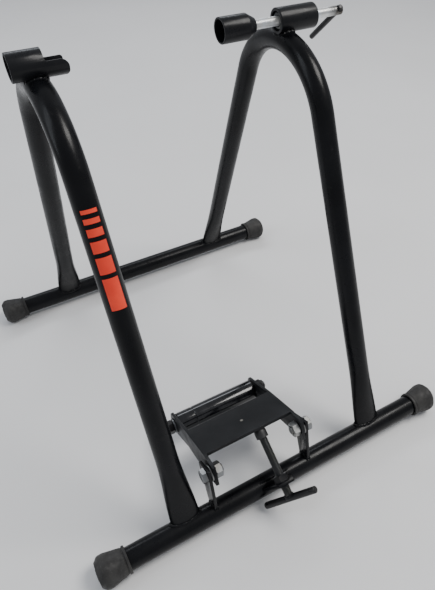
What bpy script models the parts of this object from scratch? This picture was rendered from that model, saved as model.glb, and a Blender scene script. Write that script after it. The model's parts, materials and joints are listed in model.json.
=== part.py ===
"""Rear-axle bicycle stand: two tube hoops on two base tubes, an open axle cup on the left,
a screw clamp with a closed axle cup on the right, and a tyre roller in a tilting cradle
that a hand screw lifts.  Metres, +Z up, X across the stand, the roller on the -Y side."""

import math

import bmesh
import bpy
from mathutils import Matrix, Vector

# ---------------------------------------------------------------- driving dimensions
GAP = 0.0003                     # play between pieces that touch
WALL = 0.0015                    # wall of every frame tube

BASE_RADIUS = 0.01065            # the two long tubes on the floor
BASE_SPACING = 0.1876            # each base tube's distance from the middle
BASE_HALF_LENGTH = 0.1856

FOOT_RADIUS = 0.0153             # rubber foot caps
FOOT_NECK_RADIUS = 0.0124
FOOT_FLAT = 0.0005               # worn flat under each foot
FOOT_RIM_X = 0.1635
FOOT_FLARE_X = 0.172
FOOT_BODY_X = 0.182
FOOT_SHOULDER_X = 0.1901
FOOT_END_X = 0.1919
FOOT_LIP = 0.0005

HOOP_RADIUS = 0.010
HOOP_X = 0.1053                  # the hoops' planes
ARCH_RADIUS = 0.0694
ARCH_CENTRE_Z = 0.2775           # above the base tubes' axes
CRUSH_HEIGHT = 0.066             # the legs' ends are squeezed before welding
CRUSH_FULL = 0.010
CRUSH_AMOUNT = 0.42

AXLE_Z = 0.3638                  # the wheel axle's height above the base tubes' axes
CLAMP_RADIUS = 0.0104            # outer radius of the left cup, the sleeve and the right cup
LEFT_CUP_END = -0.1222
LEFT_CUP_STEP = -0.0980          # the tube is open on top from here to its tip
LEFT_CUP_TIP = -0.0818
LEFT_CUP_CUT_HEIGHT = 0.0018
LEFT_CUP_CUT_TILT = math.radians(11)
STOP_THICKNESS = 0.004
STOP_FACE_X = -0.0990

SLEEVE_LEFT = 0.0966
SLEEVE_RIGHT = 0.1338
SLEEVE_BORE = 0.0079
SLEEVE_NUT_INSET = 0.0012
SLEEVE_BUSH_LENGTH = 0.010

CUP_FACE = 0.0429
CUP_FLOOR = 0.0630
CUP_SHOULDER = 0.0670
CUP_BACK = 0.0746
CUP_BACK_RADIUS = 0.0060
CUP_BORE = 0.0088

ROD_RADIUS = 0.0040              # every screw on the stand is M8
ROD_NECK_RADIUS = 0.0030
ROD_NECK_START = 0.0749
ROD_INNER_END = 0.0590
ROD_OUTER_END = 0.1646
CLIP_RADIUS = 0.0058
CLIP_THICKNESS = 0.0011
HANDLE_X = 0.1608
HANDLE_RADIUS = 0.0025
HANDLE_LONG = 0.0505
HANDLE_SHORT = 0.0060
HANDLE_DROP = math.radians(41.5)

NUT_FLATS = 0.013
NUT_HEIGHT = 0.0065
LOCKNUT_HEIGHT = 0.0080
BOLT_HEAD_HEIGHT = 0.0045
BOLT_TAIL = 0.0015               # thread showing past a nut
WASHER_RADIUS = 0.0080
WASHER_THICKNESS = 0.0016

SHEET = 0.0030                   # the cradle's bent sheet
CHEEK_LEFT = -0.0735             # outer faces of the cradle's cheeks
CHEEK_RIGHT = 0.0225
EAR_THICKNESS = 0.0030
EAR_CLEARANCE = 0.0020           # between a cheek and its ear

# Side-on (y, z) places, y from the middle and z from the base tubes' axes.
PIVOT = (-0.1780, 0.0525)
ROLLER_AXIS = (-0.0900, 0.0140)
CHEEK_TIP = (-0.0804, 0.0229)
PLATE_BACK = (-0.1215, 0.0437)
PLATE_FRONT = (-0.1641, 0.0614)
CHEEK_TOP_CORNER = (-0.1826, 0.0653)
CHEEK_LOW_CORNER = (-0.1883, 0.0446)
CHEEK_LOW_MIDDLE = (-0.1430, 0.0262)
CHEEK_LOW_BACK = (-0.1246, 0.0210)
CHEEK_NOSE_RADIUS = 0.0115
CHEEK_NOSE_FROM = math.radians(20)
CHEEK_NOSE_TO = math.radians(-115)
EAR_OUTLINE = ((-0.1930, 0.0040), (-0.1828, 0.0626), (-0.1623, 0.0514), (-0.1790, 0.0020))

ROLLER_RADIUS = 0.0110
ROLLER_END_PLAY = 0.0010
BUSHING_LENGTH = 0.0080

LIFT_X = -0.0135                 # the lifting screw's plane
LIFT_SLOPE = math.radians(32.4)
LIFT_NUT_TOP = (-0.1996, 0.0276)
LIFT_BRACKET_THICKNESS = 0.0030
LIFT_BRACKET_BASE = 0.036
LIFT_BRACKET_TOP = 0.016
LIFT_BRACKET_RISE = 0.0095       # past the screw's axis
LIFT_BRACKET_DROP = 0.0260       # down into the base tube, coped off at its surface
T_BAR_DISTANCE = 0.0230          # T-bar's axis below the nut's top
T_BAR_RADIUS = 0.0034
T_BAR_LENGTH = 0.062
T_BAR_ROLL = math.radians(56.1)
PAD_RADIUS = 0.0060
PAD_SKIRT = 0.0060
PAD_LIFT_GAP = 0.0004            # between the pad's dome and the cradle plate at rest

RING_STEPS = 24
SMALL_STEPS = 16
HOLE_RADIUS = ROD_RADIUS + GAP

# ---------------------------------------------------------------- derived places
FLOOR_TO_AXIS = FOOT_RADIUS - FOOT_FLAT
LIFT_AXIS = Vector((0, math.cos(LIFT_SLOPE), math.sin(LIFT_SLOPE)))
LIFT_UP = Vector((0, -math.sin(LIFT_SLOPE), math.cos(LIFT_SLOPE)))
T_BAR_AXIS = Vector((math.cos(T_BAR_ROLL), 0, 0)) + LIFT_UP * math.sin(T_BAR_ROLL)
ACROSS = Vector((1, 0, 0))


def t_bar_reach():
    """How far forward the T-bar's front end is from the middle, before centring."""
    middle = LIFT_NUT_TOP[0] - T_BAR_DISTANCE * LIFT_AXIS.y
    end = T_BAR_LENGTH / 2 * abs(T_BAR_AXIS.y)
    edge = T_BAR_RADIUS * math.sqrt(1 - T_BAR_AXIS.y ** 2)
    return -(middle - end - edge)


# The origin is on the floor under the middle of the whole stand, T-bar included.
CENTRING = (t_bar_reach() - BASE_SPACING - FOOT_RADIUS) / 2


def place(x, y, z):
    """A point given from the middle of the base, at the base tubes' axes."""
    return Vector((x, y + CENTRING, z + FLOOR_TO_AXIS))


def side(x, point):
    """A side-on (y, z) point at a given x."""
    return place(x, point[0], point[1])


def lift_point(distance):
    """A point on the lifting screw's axis, measured from its nut's top."""
    return side(LIFT_X, LIFT_NUT_TOP) + LIFT_AXIS * distance


# ---------------------------------------------------------------- scene and materials
for stale in list(bpy.data.objects):
    bpy.data.objects.remove(stale, do_unlink=True)

parts = bpy.data.collections.new("bike_repair_stand")
cutters = bpy.data.collections.new("cutters")
bpy.context.scene.collection.children.link(parts)
bpy.context.scene.collection.children.link(cutters)

FINISHES = {
    "frame_paint": ((0.020, 0.022, 0.026), 0.38, 0.0),
    "clamp_paint": ((0.018, 0.020, 0.024), 0.32, 0.0),
    "cradle_paint": ((0.022, 0.024, 0.028), 0.42, 0.0),
    "roller_gloss": ((0.012, 0.013, 0.016), 0.20, 0.0),
    "black_steel": ((0.030, 0.031, 0.034), 0.45, 0.8),
    "zinc_steel": ((0.62, 0.64, 0.67), 0.30, 1.0),
    "foot_rubber": ((0.045, 0.046, 0.050), 0.70, 0.0),
    "nylon": ((0.060, 0.060, 0.062), 0.50, 0.0),
}


def finish(name):
    """One Principled material for each sub-part, from the named finish."""
    colour, roughness, metallic = FINISHES[name]
    material = bpy.data.materials.new(name)
    material.use_nodes = True
    shader = material.node_tree.nodes["Principled BSDF"]
    shader.inputs["Base Color"].default_value = (*colour, 1)
    shader.inputs["Roughness"].default_value = roughness
    shader.inputs["Metallic"].default_value = metallic
    return material


# ---------------------------------------------------------------- modelling helpers
def turn_to(axis):
    """Rotation that points local Z along axis."""
    return Vector(axis).to_track_quat("Z", "Y")


def new_object(name, mesh, at, rotation, look):
    thing = bpy.data.objects.new(name, mesh)
    thing.location = at
    thing.rotation_mode = "QUATERNION"
    thing.rotation_quaternion = rotation
    if look is None:
        cutters.objects.link(thing)
        thing.hide_render = True
        thing.display_type = "WIRE"
    else:
        parts.objects.link(thing)
        mesh.materials.append(finish(look))
    return thing


def turned(name, profile, at, axis, look, closed=False, steps=RING_STEPS):
    """A lathe shape: (radius, height) points run down the outer side, turned about axis."""
    mesh = bpy.data.meshes.new(name)
    edges = [(i, i + 1) for i in range(len(profile) - 1)]
    if closed:
        edges.append((len(profile) - 1, 0))
    mesh.from_pydata([(radius, 0, height) for radius, height in profile], edges, [])
    thing = new_object(name, mesh, at, turn_to(axis), look)
    spin = thing.modifiers.new("turn", "SCREW")
    spin.steps = steps
    spin.render_steps = steps
    spin.use_merge_vertices = True
    spin.merge_threshold = 0.00001
    spin.use_smooth_shade = True
    return thing


def rod(name, radius, start, end, look, steps=RING_STEPS):
    """A solid cylinder between two points."""
    axis = end - start
    profile = [(0, axis.length), (radius, axis.length), (radius, 0), (0, 0)]
    return turned(name, profile, start, axis, look, steps=steps)


def pipe(name, outer, inner, start, end, look, steps=RING_STEPS):
    """A hollow cylinder between two points, open at both ends."""
    axis = end - start
    profile = [(outer, axis.length), (outer, 0), (inner, 0), (inner, axis.length)]
    return turned(name, profile, start, axis, look, closed=True, steps=steps)


def box(name, size, at, rotation, look):
    mesh = bpy.data.meshes.new(name)
    shape = bmesh.new()
    bmesh.ops.create_cube(shape, size=1)
    bmesh.ops.scale(shape, vec=size, verts=shape.verts)
    shape.to_mesh(mesh)
    shape.free()
    return new_object(name, mesh, at, rotation, look)


def hexagon(name, height, base, axis, look):
    """A hexagon bar end, for nuts and bolt heads, standing on base along axis."""
    mesh = bpy.data.meshes.new(name)
    shape = bmesh.new()
    corner = NUT_FLATS / 2 / math.cos(math.radians(30))
    bmesh.ops.create_cone(shape, cap_ends=True, segments=6, radius1=corner, radius2=corner, depth=height)
    bmesh.ops.translate(shape, vec=(0, 0, height / 2), verts=shape.verts)
    shape.to_mesh(mesh)
    shape.free()
    return new_object(name, mesh, base, turn_to(axis), look)


def modify(thing, other, operation):
    step = thing.modifiers.new(operation.lower() + "_" + other.name, "BOOLEAN")
    step.operation = operation
    step.solver = "EXACT"
    step.object = other


def cut(thing, cutter):
    modify(thing, cutter, "DIFFERENCE")


def join(thing, addition):
    modify(thing, addition, "UNION")


def mesh_from_curve(thing):
    """A welded mesh of a curve object; the curve is removed."""
    bpy.context.view_layer.update()
    evaluated = thing.evaluated_get(bpy.context.evaluated_depsgraph_get())
    mesh = bpy.data.meshes.new_from_object(evaluated)
    shape = bmesh.new()
    shape.from_mesh(mesh)
    bmesh.ops.remove_doubles(shape, verts=shape.verts, dist=0.00001)
    bmesh.ops.recalc_face_normals(shape, faces=shape.faces)
    shape.to_mesh(mesh)
    shape.free()
    mesh.materials.clear()
    bpy.data.objects.remove(thing, do_unlink=True)
    return mesh


def plate(name, outline, thickness, at, rotation, look):
    """A flat plate of the given outline, centred on its own thickness."""
    curve = bpy.data.curves.new(name, "CURVE")
    curve.dimensions = "2D"
    curve.fill_mode = "BOTH"
    curve.extrude = thickness / 2
    spline = curve.splines.new("POLY")
    spline.points.add(len(outline) - 1)
    for point, (u, v) in zip(spline.points, outline):
        point.co = (u, v, 0, 1)
    spline.use_cyclic_u = True
    flat = bpy.data.objects.new(name + "_outline", curve)
    parts.objects.link(flat)
    return new_object(name, mesh_from_curve(flat), at, rotation, look)


NO_TURN = Matrix.Identity(3).to_quaternion()
SIDE_ON = Matrix(((0, 0, 1), (1, 0, 0), (0, 1, 0))).to_quaternion()


def side_plate(name, outline, thickness, x_middle, look):
    """A plate across X with a side-on (y, z) outline."""
    return plate(name, outline, thickness, place(x_middle, 0, 0), SIDE_ON, look)


def empty(name, at, parent=None):
    thing = bpy.data.objects.new(name, None)
    parts.objects.link(thing)
    thing.location = at
    if parent is not None:
        hang(parent, thing)
    return thing


def hang(parent, *children):
    """Parent pieces where they stand."""
    bpy.context.view_layer.update()
    for child in children:
        child.parent = parent
        child.matrix_parent_inverse = parent.matrix_world.inverted()


def hole(name, radius, start, end):
    return rod(name, radius, start, end, None, steps=SMALL_STEPS)


def nut(name, height, base, axis, look="zinc_steel"):
    """A hexagon nut with its threaded hole drawn as a plain bore."""
    thing = hexagon(name, height, base, axis, look)
    reach = Vector(axis).normalized() * height
    cut(thing, hole(name + "_bore", HOLE_RADIUS, base - reach, base + reach * 2))
    return thing


# ---------------------------------------------------------------- base tubes and feet
def base_tube(name, y):
    start = place(-BASE_HALF_LENGTH, y, 0)
    return pipe(name, BASE_RADIUS, BASE_RADIUS - WALL, start, place(BASE_HALF_LENGTH, y, 0), "frame_paint")


def foot_cap(name, direction, y):
    """A rubber ferrule: lipped rim, neck, flare, body and domed end, bored for the tube."""
    bore = BASE_RADIUS + GAP
    floor = BASE_HALF_LENGTH + GAP
    profile = [
        (0, FOOT_END_X),
        (FOOT_RADIUS * 0.80, FOOT_END_X),
        (FOOT_RADIUS * 0.95, (FOOT_END_X + FOOT_SHOULDER_X) / 2),
        (FOOT_RADIUS, FOOT_SHOULDER_X),
        (FOOT_RADIUS, FOOT_BODY_X),
        (FOOT_NECK_RADIUS, FOOT_FLARE_X),
        (FOOT_NECK_RADIUS, FOOT_RIM_X + 0.0020),
        (FOOT_NECK_RADIUS + FOOT_LIP, FOOT_RIM_X + 0.0015),
        (FOOT_NECK_RADIUS + FOOT_LIP, FOOT_RIM_X),
        (bore, FOOT_RIM_X),
        (bore, floor),
        (0, floor),
    ]
    cap = turned(name, profile, place(0, y, 0), ACROSS * direction, "foot_rubber")
    depth = 0.010
    flat_size = Vector((0.060, 0.060, depth))
    flat_at = place(direction * FOOT_BODY_X, y, -FLOOR_TO_AXIS - depth / 2)
    cut(cap, box(name + "_flat", flat_size, flat_at, NO_TURN, None))
    return cap


for end, y in (("rear", -BASE_SPACING), ("front", BASE_SPACING)):
    base_tube(end + "_base_tube", y)
    foot_cap("foot_cap_" + end + "_left", -1, y)
    foot_cap("foot_cap_" + end + "_right", 1, y)


def cope_cutter(name, y):
    """The space of a base tube, for the ends that are welded onto it."""
    reach = BASE_HALF_LENGTH + GAP
    return rod(name, BASE_RADIUS + GAP, place(-reach, y, 0), place(reach, y, 0), None, steps=32)


rear_cope = cope_cutter("rear_tube_space", -BASE_SPACING)
front_cope = cope_cutter("front_tube_space", BASE_SPACING)


# ---------------------------------------------------------------- hoops
LEG_ANGLE = math.acos(ARCH_RADIUS / math.hypot(BASE_SPACING, ARCH_CENTRE_Z)) - math.atan2(
    ARCH_CENTRE_Z, BASE_SPACING
)
LEG_STATIONS = (0.0, 0.010, 0.020, 0.035, 0.050, 0.070, 0.090)
ARCH_STEPS = 14


def hoop_path():
    """(y, z) points up one leg, round the arch and down the other leg."""
    joint_y = ARCH_RADIUS * math.cos(LEG_ANGLE)
    joint_z = ARCH_CENTRE_Z + ARCH_RADIUS * math.sin(LEG_ANGLE)
    slope = (joint_y - BASE_SPACING) / joint_z
    leg = [(BASE_SPACING + slope * z, z) for z in LEG_STATIONS]
    arch = []
    for step in range(ARCH_STEPS + 1):
        angle = LEG_ANGLE + (math.pi - 2 * LEG_ANGLE) * step / ARCH_STEPS
        arch.append((ARCH_RADIUS * math.cos(angle), ARCH_CENTRE_Z + ARCH_RADIUS * math.sin(angle)))
    other_leg = [(-y, z) for y, z in reversed(leg)]
    return leg + arch + other_leg


def crush_legs(mesh):
    """Flatten the legs' ends in the hoop's plane and widen them across it."""
    for vertex in mesh.vertices:
        x, y, z = vertex.co
        amount = (CRUSH_HEIGHT - z) / (CRUSH_HEIGHT - CRUSH_FULL)
        amount = max(0.0, min(1.0, amount)) * CRUSH_AMOUNT
        toward = 1 if y > 0 else -1
        across = Vector((0, toward * math.cos(LEG_ANGLE), math.sin(LEG_ANGLE)))
        offset = across.dot(Vector((0, y, z - ARCH_CENTRE_Z))) - ARCH_RADIUS
        vertex.co = Vector((x * (1 + amount), y, z)) - across * offset * amount


def hoop(name, x, clamp_space):
    curve = bpy.data.curves.new(name, "CURVE")
    curve.dimensions = "3D"
    curve.bevel_depth = HOOP_RADIUS
    curve.bevel_resolution = 8
    curve.use_fill_caps = False
    points = hoop_path()
    spline = curve.splines.new("POLY")
    spline.points.add(len(points) - 1)
    for point, (y, z) in zip(spline.points, points):
        point.co = (0, y, z, 1)
    bent = bpy.data.objects.new(name + "_path", curve)
    parts.objects.link(bent)
    mesh = mesh_from_curve(bent)
    crush_legs(mesh)
    tube = new_object(name, mesh, place(x, 0, 0), NO_TURN, "frame_paint")
    shell = tube.modifiers.new("wall", "SOLIDIFY")
    shell.thickness = WALL
    shell.offset = -1
    for cutter in (rear_cope, front_cope, clamp_space):
        cut(tube, cutter)
    return tube


def clamp_place(x):
    """A point on the clamp's axis."""
    return place(x, 0, AXLE_Z)


left_space = rod("left_cup_space", CLAMP_RADIUS + GAP, clamp_place(-0.14), clamp_place(-0.07), None, steps=32)
right_space = rod("sleeve_space", CLAMP_RADIUS + GAP, clamp_place(0.08), clamp_place(0.15), None, steps=32)
left_hoop = hoop("left_hoop", -HOOP_X, left_space)
right_hoop = hoop("right_hoop", HOOP_X, right_space)


# ---------------------------------------------------------------- left axle cup
def left_axle_cup():
    """A short tube whose inner end is cut away on top to a trough for the axle's end."""
    bore = CLAMP_RADIUS - WALL
    start = clamp_place(LEFT_CUP_END)
    cup = pipe("left_axle_cup", CLAMP_RADIUS, bore, start, clamp_place(LEFT_CUP_TIP), "clamp_paint")
    length = 0.040
    tilt = Matrix.Rotation(-LEFT_CUP_CUT_TILT, 3, "X").to_quaternion()
    up = tilt @ Vector((0, 0, 1))
    middle = clamp_place(LEFT_CUP_STEP + length / 2) + Vector((0, 0, LEFT_CUP_CUT_HEIGHT)) + up * length / 2
    cut(cup, box("left_cup_opening", Vector((length, length, length)), middle, tilt, None))
    return cup


left_axle_cup()
rod(
    "left_cup_stop",
    CLAMP_RADIUS - WALL - GAP,
    clamp_place(STOP_FACE_X - STOP_THICKNESS),
    clamp_place(STOP_FACE_X),
    "black_steel",
)


# ---------------------------------------------------------------- right clamp
pipe(
    "right_sleeve",
    CLAMP_RADIUS,
    SLEEVE_BORE,
    clamp_place(SLEEVE_LEFT),
    clamp_place(SLEEVE_RIGHT),
    "clamp_paint",
)
nut("sleeve_nut", NUT_HEIGHT, clamp_place(SLEEVE_LEFT + SLEEVE_NUT_INSET), ACROSS)
pipe(
    "sleeve_bush",
    SLEEVE_BORE - GAP,
    HOLE_RADIUS,
    clamp_place(SLEEVE_RIGHT - SLEEVE_BUSH_LENGTH),
    clamp_place(SLEEVE_RIGHT - GAP),
    "nylon",
)


def clamp_cup():
    """The right cup: a bored cylinder with a coned back that swivels on the rod's neck."""
    neck_hole = ROD_NECK_RADIUS + GAP
    profile = [
        (CUP_BACK_RADIUS, CUP_BACK),
        (CLAMP_RADIUS, CUP_SHOULDER),
        (CLAMP_RADIUS, CUP_FACE),
        (CUP_BORE, CUP_FACE),
        (CUP_BORE, CUP_FLOOR),
        (neck_hole, CUP_FLOOR),
        (neck_hole, CUP_BACK),
    ]
    return turned("clamp_cup", profile, clamp_place(0), ACROSS, "clamp_paint", closed=True)


HANDLE_AXIS = Vector((0, math.cos(HANDLE_DROP), -math.sin(HANDLE_DROP)))


def clamp_rod():
    """The threaded rod with a turned neck for the cup and a cross hole for the handle."""
    profile = [
        (0, ROD_OUTER_END),
        (ROD_RADIUS, ROD_OUTER_END),
        (ROD_RADIUS, ROD_NECK_START),
        (ROD_NECK_RADIUS, ROD_NECK_START),
        (ROD_NECK_RADIUS, ROD_INNER_END),
        (0, ROD_INNER_END),
    ]
    thing = turned("clamp_rod", profile, clamp_place(0), ACROSS, "zinc_steel")
    middle = clamp_place(HANDLE_X)
    reach = HANDLE_AXIS * 0.010
    cut(thing, hole("handle_hole", HANDLE_RADIUS + GAP, middle - reach, middle + reach))
    return thing


cup = clamp_cup()
screw = clamp_rod()
clip_end = CUP_FLOOR - GAP
clip = pipe(
    "cup_clip",
    CLIP_RADIUS,
    ROD_NECK_RADIUS + GAP,
    clamp_place(clip_end - CLIP_THICKNESS),
    clamp_place(clip_end),
    "zinc_steel",
    steps=SMALL_STEPS,
)
handle_middle = clamp_place(HANDLE_X)
handle = rod(
    "clamp_handle",
    HANDLE_RADIUS,
    handle_middle - HANDLE_AXIS * HANDLE_SHORT,
    handle_middle + HANDLE_AXIS * HANDLE_LONG,
    "black_steel",
    steps=SMALL_STEPS,
)
clamp_axis = empty("clamp_axis", clamp_place(HANDLE_X))
hang(clamp_axis, cup, screw, clip, handle)


# ---------------------------------------------------------------- cradle
def cheek_outline():
    """Side-on outline: top edge, front corner, lower edge and a nose round the roller's axle."""
    nose = []
    steps = 8
    for step in range(steps + 1):
        angle = CHEEK_NOSE_TO + (CHEEK_NOSE_FROM - CHEEK_NOSE_TO) * step / steps
        nose.append(
            (
                ROLLER_AXIS[0] + CHEEK_NOSE_RADIUS * math.cos(angle),
                ROLLER_AXIS[1] + CHEEK_NOSE_RADIUS * math.sin(angle),
            )
        )
    edge = [
        CHEEK_TIP,
        PLATE_BACK,
        PLATE_FRONT,
        CHEEK_TOP_CORNER,
        CHEEK_LOW_CORNER,
        CHEEK_LOW_MIDDLE,
        CHEEK_LOW_BACK,
    ]
    return edge + nose


def cradle_bracket():
    """One bent sheet: a top plate and two cheeks."""
    outline = cheek_outline()
    left = side_plate("cradle_bracket", outline, SHEET, CHEEK_LEFT + SHEET / 2, "cradle_paint")
    right = side_plate("right_cheek", outline, SHEET, CHEEK_RIGHT - SHEET / 2, None)
    back = side(0, PLATE_BACK)
    front = side(0, PLATE_FRONT)
    run = front - back
    down = run.cross(ACROSS).normalized()
    if down.z > 0:
        down = -down
    middle = (back + front) / 2 + down * SHEET / 2
    middle.x = (CHEEK_LEFT + CHEEK_RIGHT) / 2
    turn = Matrix((ACROSS, run.normalized(), ACROSS.cross(run.normalized()))).transposed().to_quaternion()
    width = CHEEK_RIGHT - CHEEK_LEFT - SHEET
    top = box("top_plate", Vector((width, run.length, SHEET)), middle, turn, None)
    join(left, right)
    join(left, top)
    for name, centre in (("pivot_holes", PIVOT), ("axle_holes", ROLLER_AXIS)):
        cut(left, hole(name, HOLE_RADIUS, side(CHEEK_LEFT - 0.01, centre), side(CHEEK_RIGHT + 0.01, centre)))
    return left


bracket = cradle_bracket()
locknut_reach = GAP + WASHER_THICKNESS + GAP + LOCKNUT_HEIGHT + BOLT_TAIL
roller_axle = rod(
    "roller_axle",
    ROD_RADIUS,
    side(CHEEK_LEFT - locknut_reach, ROLLER_AXIS),
    side(CHEEK_RIGHT + locknut_reach, ROLLER_AXIS),
    "zinc_steel",
    steps=SMALL_STEPS,
)
cradle_pieces = [bracket, roller_axle]
for hand, face, direction in (("left", CHEEK_LEFT, -1), ("right", CHEEK_RIGHT, 1)):
    washer_in = face + direction * GAP
    washer_out = washer_in + direction * WASHER_THICKNESS
    washer = pipe(
        "axle_washer_" + hand,
        WASHER_RADIUS,
        HOLE_RADIUS,
        side(min(washer_in, washer_out), ROLLER_AXIS),
        side(max(washer_in, washer_out), ROLLER_AXIS),
        "zinc_steel",
        steps=SMALL_STEPS,
    )
    locknut = nut(
        "axle_nut_" + hand,
        LOCKNUT_HEIGHT,
        side(washer_out + direction * GAP, ROLLER_AXIS),
        ACROSS * direction,
        "black_steel",
    )
    cradle_pieces += [washer, locknut]

# ---------------------------------------------------------------- roller
ROLLER_LEFT = CHEEK_LEFT + SHEET + ROLLER_END_PLAY
ROLLER_RIGHT = CHEEK_RIGHT - SHEET - ROLLER_END_PLAY
roller = pipe(
    "roller_tube",
    ROLLER_RADIUS,
    ROLLER_RADIUS - WALL,
    side(ROLLER_LEFT, ROLLER_AXIS),
    side(ROLLER_RIGHT, ROLLER_AXIS),
    "roller_gloss",
)
roller_pieces = [roller]
for hand, start in (("left", ROLLER_LEFT), ("right", ROLLER_RIGHT - BUSHING_LENGTH)):
    bushing = pipe(
        "roller_bushing_" + hand,
        ROLLER_RADIUS - WALL - GAP,
        HOLE_RADIUS,
        side(start, ROLLER_AXIS),
        side(start + BUSHING_LENGTH, ROLLER_AXIS),
        "nylon",
        steps=SMALL_STEPS,
    )
    roller_pieces.append(bushing)

cradle_pivot = empty("cradle_pivot", side(0, PIVOT))
roller_spin = empty("roller_spin", side(0, ROLLER_AXIS), cradle_pivot)
hang(cradle_pivot, *cradle_pieces)
hang(roller_spin, *roller_pieces)


# ---------------------------------------------------------------- ears and pivot bolts
def pivot_side(hand, face, direction):
    """An ear on the rear tube, its pivot bolt, the spacer and the nut inside the cheek."""
    inner = face + direction * EAR_CLEARANCE
    outer = inner + direction * EAR_THICKNESS
    ear = side_plate("pivot_ear_" + hand, EAR_OUTLINE, EAR_THICKNESS, (inner + outer) / 2, "frame_paint")
    cut(ear, rear_cope)
    cut(ear, hole("ear_hole_" + hand, HOLE_RADIUS, side(inner - 0.01, PIVOT), side(outer + 0.01, PIVOT)))
    gap_ends = sorted((face + direction * GAP, inner - direction * GAP))
    pipe(
        "pivot_spacer_" + hand,
        WASHER_RADIUS,
        HOLE_RADIUS,
        side(gap_ends[0], PIVOT),
        side(gap_ends[1], PIVOT),
        "zinc_steel",
        steps=SMALL_STEPS,
    )
    nut_base = face - direction * (SHEET + GAP)
    nut("pivot_nut_" + hand, NUT_HEIGHT, side(nut_base, PIVOT), ACROSS * -direction)
    head_base = outer + direction * GAP
    shank_end = nut_base - direction * (NUT_HEIGHT + BOLT_TAIL)
    outward = ACROSS * direction
    bolt = hexagon("pivot_bolt_" + hand, BOLT_HEAD_HEIGHT, side(head_base, PIVOT), outward, "zinc_steel")
    inside_head = side(head_base + direction * BOLT_HEAD_HEIGHT / 2, PIVOT)
    shank = rod("bolt_shank_" + hand, ROD_RADIUS, side(shank_end, PIVOT), inside_head, None, SMALL_STEPS)
    join(bolt, shank)


pivot_side("left", CHEEK_LEFT, -1)
pivot_side("right", CHEEK_RIGHT, 1)


# ---------------------------------------------------------------- lifting screw
LIFT_TURN = Matrix((-ACROSS, LIFT_UP, LIFT_AXIS)).transposed().to_quaternion()


def screw_bracket():
    """A tapered plate on the rear tube that carries the lifting screw's weld nut."""
    outline = [
        (-LIFT_BRACKET_BASE / 2, -LIFT_BRACKET_DROP),
        (LIFT_BRACKET_BASE / 2, -LIFT_BRACKET_DROP),
        (LIFT_BRACKET_TOP / 2, LIFT_BRACKET_RISE),
        (-LIFT_BRACKET_TOP / 2, LIFT_BRACKET_RISE),
    ]
    middle = lift_point(-NUT_HEIGHT - GAP - LIFT_BRACKET_THICKNESS / 2)
    thing = plate("screw_bracket", outline, LIFT_BRACKET_THICKNESS, middle, LIFT_TURN, "frame_paint")
    cut(thing, rear_cope)
    reach = LIFT_AXIS * 0.010
    cut(thing, hole("screw_bracket_hole", HOLE_RADIUS, middle - reach, middle + reach))
    return thing


def plate_underside():
    """A point on the cradle plate's underside and its upward normal."""
    run = side(0, PLATE_FRONT) - side(0, PLATE_BACK)
    normal = run.cross(ACROSS).normalized()
    if normal.z < 0:
        normal = -normal
    return side(LIFT_X, PLATE_BACK) - normal * SHEET, normal


def dome_centre_distance():
    """Where the pad's dome is centred, so that it clears the plate by its small gap."""
    point, normal = plate_underside()
    reach = PAD_RADIUS + PAD_LIFT_GAP
    return ((point - normal * reach - lift_point(0)).dot(normal)) / LIFT_AXIS.dot(normal)


def lift_pad():
    """A domed cap over the screw's tip."""
    centre = dome_centre_distance()
    steps = 6
    dome = []
    for step in range(steps + 1):
        angle = math.pi / 2 * (1 - step / steps)
        dome.append((PAD_RADIUS * math.cos(angle), centre + PAD_RADIUS * math.sin(angle)))
    dome[0] = (0, centre + PAD_RADIUS)
    skirt = centre - PAD_SKIRT
    profile = dome + [(PAD_RADIUS, skirt), (HOLE_RADIUS, skirt), (HOLE_RADIUS, centre), (0, centre)]
    return turned("lift_pad", profile, lift_point(0), LIFT_AXIS, "nylon", steps=SMALL_STEPS)


screw_bracket()
nut("screw_nut", NUT_HEIGHT, lift_point(-NUT_HEIGHT), LIFT_AXIS, "black_steel")
pad = lift_pad()
t_bar_centre = lift_point(-T_BAR_DISTANCE)
lift_screw = rod(
    "lift_screw",
    ROD_RADIUS,
    lift_point(-T_BAR_DISTANCE + T_BAR_RADIUS + GAP),
    lift_point(dome_centre_distance() - GAP),
    "black_steel",
    steps=SMALL_STEPS,
)
t_bar = rod(
    "lift_t_bar",
    T_BAR_RADIUS,
    t_bar_centre - T_BAR_AXIS * T_BAR_LENGTH / 2,
    t_bar_centre + T_BAR_AXIS * T_BAR_LENGTH / 2,
    "black_steel",
    steps=SMALL_STEPS,
)
lift_axis = empty("lift_axis", t_bar_centre)
hang(lift_axis, pad, lift_screw, t_bar)
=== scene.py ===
import json
import math

import bmesh
import bpy
from mathutils import Matrix, Vector, noise


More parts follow.
